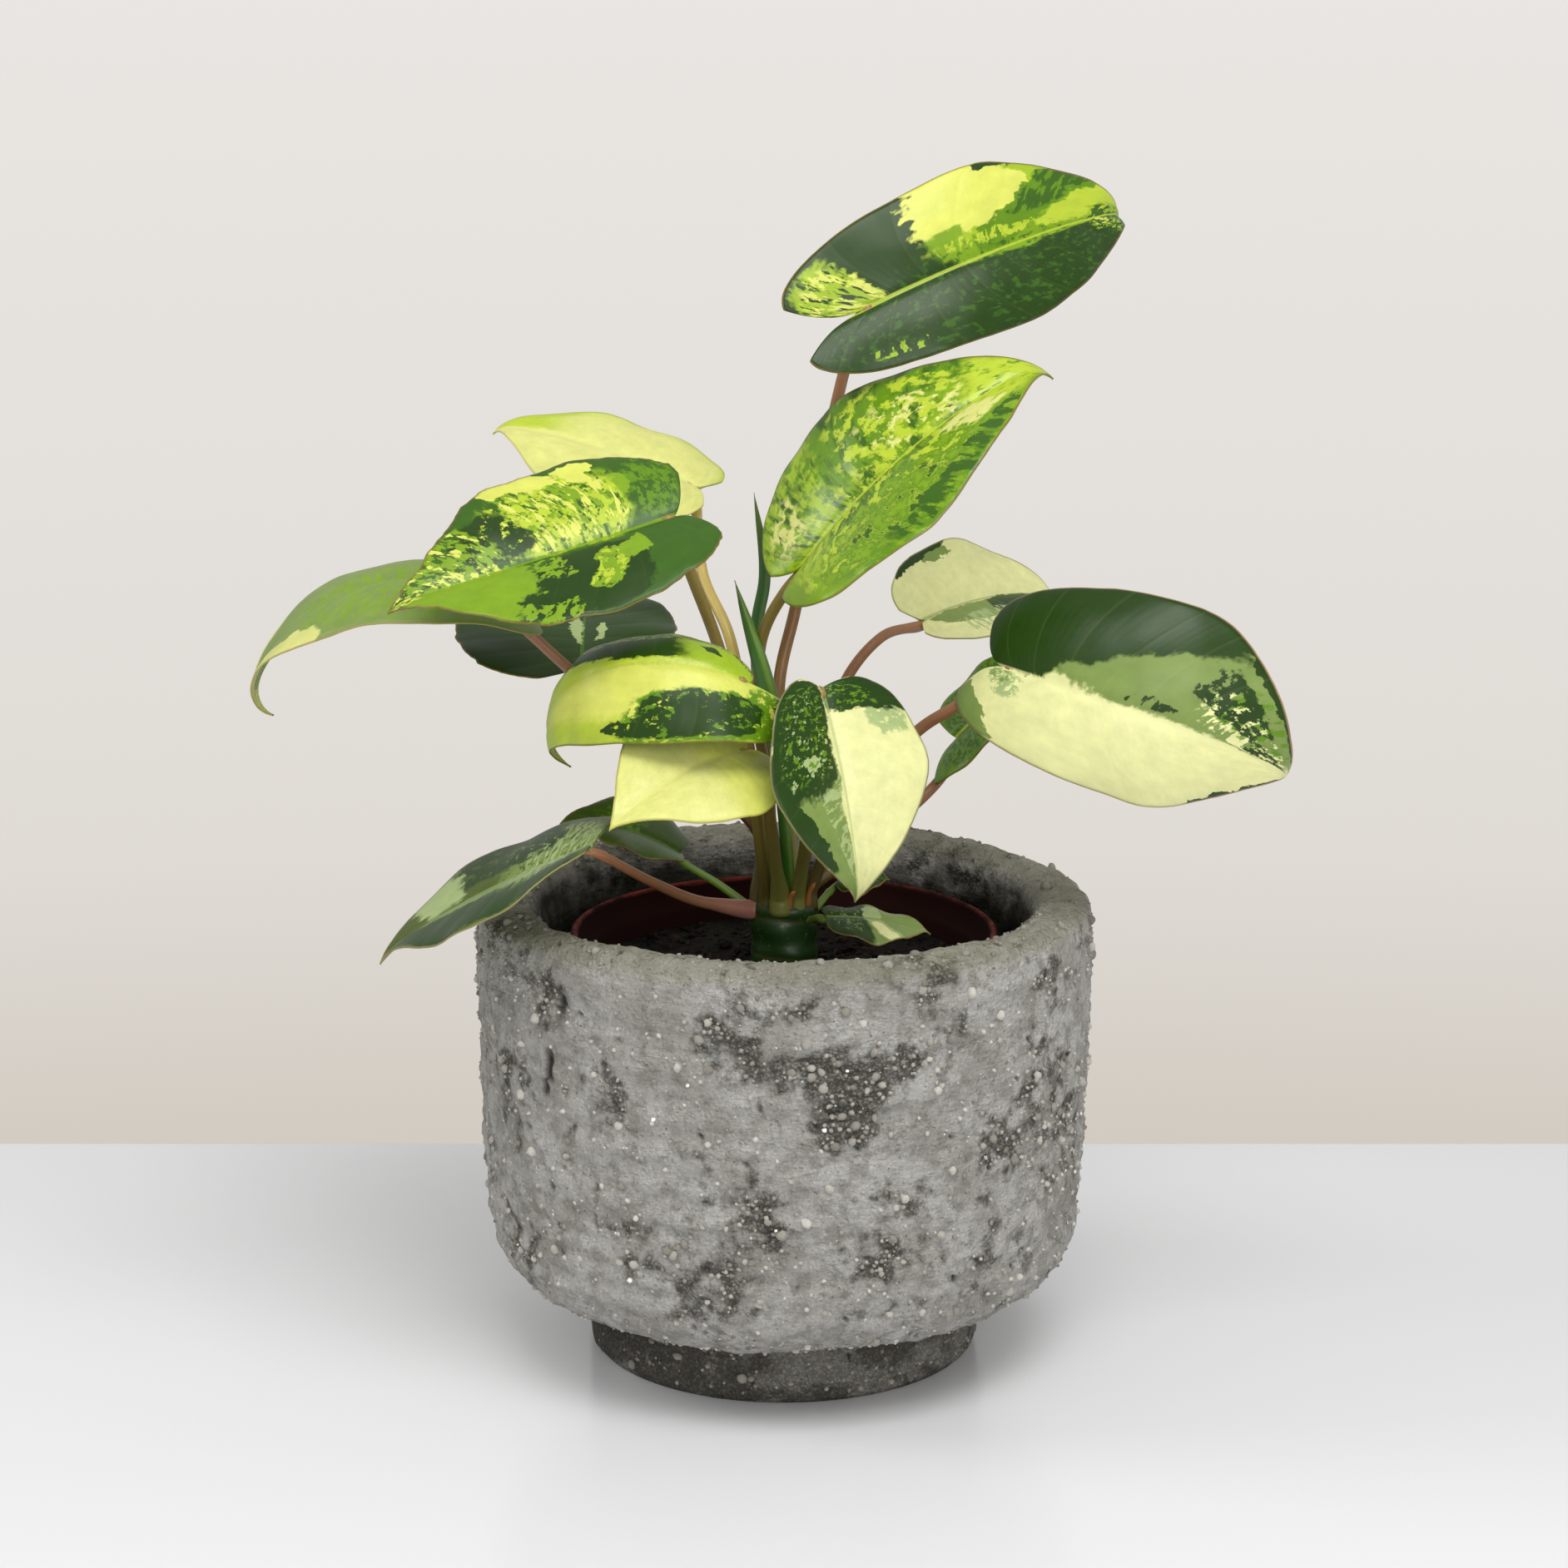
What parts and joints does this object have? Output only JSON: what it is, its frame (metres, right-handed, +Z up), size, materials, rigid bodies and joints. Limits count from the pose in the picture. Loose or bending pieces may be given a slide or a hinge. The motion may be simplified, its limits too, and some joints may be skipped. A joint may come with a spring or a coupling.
{
  "type": "potted philodendron",
  "caption": "Variegated philodendron with mottled heart-shaped leaves on slender stalks, in a plastic nursery pot set inside a coarse grey footed pot.",
  "frame": {"origin": "middle of the flat underside of the outer pot's foot, on the surface that the pot stands on", "axes": "+Z up; the side that the plant shows in the picture faces -Y; +X is to the right as seen from there"},
  "size_m": [0.2867, 0.1766, 0.3314],
  "materials": {
    "coarse_grey_pot": "coarse gritty grey, unglazed",
    "red_brown_plastic": "satin moulded",
    "compost": "damp crumbly",
    "stem_green": "glossy ringed stem",
    "leaf_dark_green": "glossy, mottled, reddish edge",
    "leaf_lime": "glossy, mottled, reddish edge",
    "leaf_mid_green": "glossy, mottled, reddish edge",
    "leaf_cream_green": "glossy, mottled, reddish edge",
    "stalk_brown": "satin, pink brown to olive",
    "new_leaf_green": "glossy rolled leaf",
    "aerial_root": "matt"
  },
  "bodies": {
    "root": {"outer_pot": "coarse_grey_pot", "nursery_pot": "red_brown_plastic", "soil": "compost", "main_stem": "stem_green", "leaf_blade_01": "leaf_dark_green", "leaf_blade_02": "leaf_lime", "leaf_blade_03": "leaf_lime", "leaf_blade_04": "leaf_dark_green", "leaf_blade_05": "leaf_mid_green", "leaf_blade_06": "leaf_dark_green", "leaf_blade_07": "leaf_lime", "leaf_blade_08": "leaf_lime", "leaf_blade_09": "leaf_cream_green", "leaf_blade_10": "leaf_cream_green", "leaf_blade_11": "leaf_lime", "leaf_blade_12": "leaf_mid_green", "leaf_blade_13": "leaf_dark_green", "leaf_blade_14": "leaf_dark_green", "leaf_blade_15": "leaf_cream_green", "leaf_blade_16": "leaf_dark_green", "leaf_stalk_01": "stalk_brown", "leaf_stalk_02": "stalk_brown", "leaf_stalk_03": "stalk_brown", "leaf_stalk_04": "stalk_brown", "leaf_stalk_05": "stalk_brown", "leaf_stalk_06": "stalk_brown", "leaf_stalk_07": "stalk_brown", "leaf_stalk_08": "stalk_brown", "leaf_stalk_09": "stalk_brown", "leaf_stalk_10": "stalk_brown", "leaf_stalk_11": "stalk_brown", "leaf_stalk_12": "stalk_brown", "leaf_stalk_13": "stalk_brown", "leaf_stalk_14": "stalk_brown", "leaf_stalk_15": "stalk_brown", "leaf_stalk_16": "stalk_brown", "new_leaf_1": "new_leaf_green", "new_leaf_2": "new_leaf_green", "aerial_root_1": "aerial_root", "aerial_root_2": "aerial_root"}
  },
  "joints": []
}
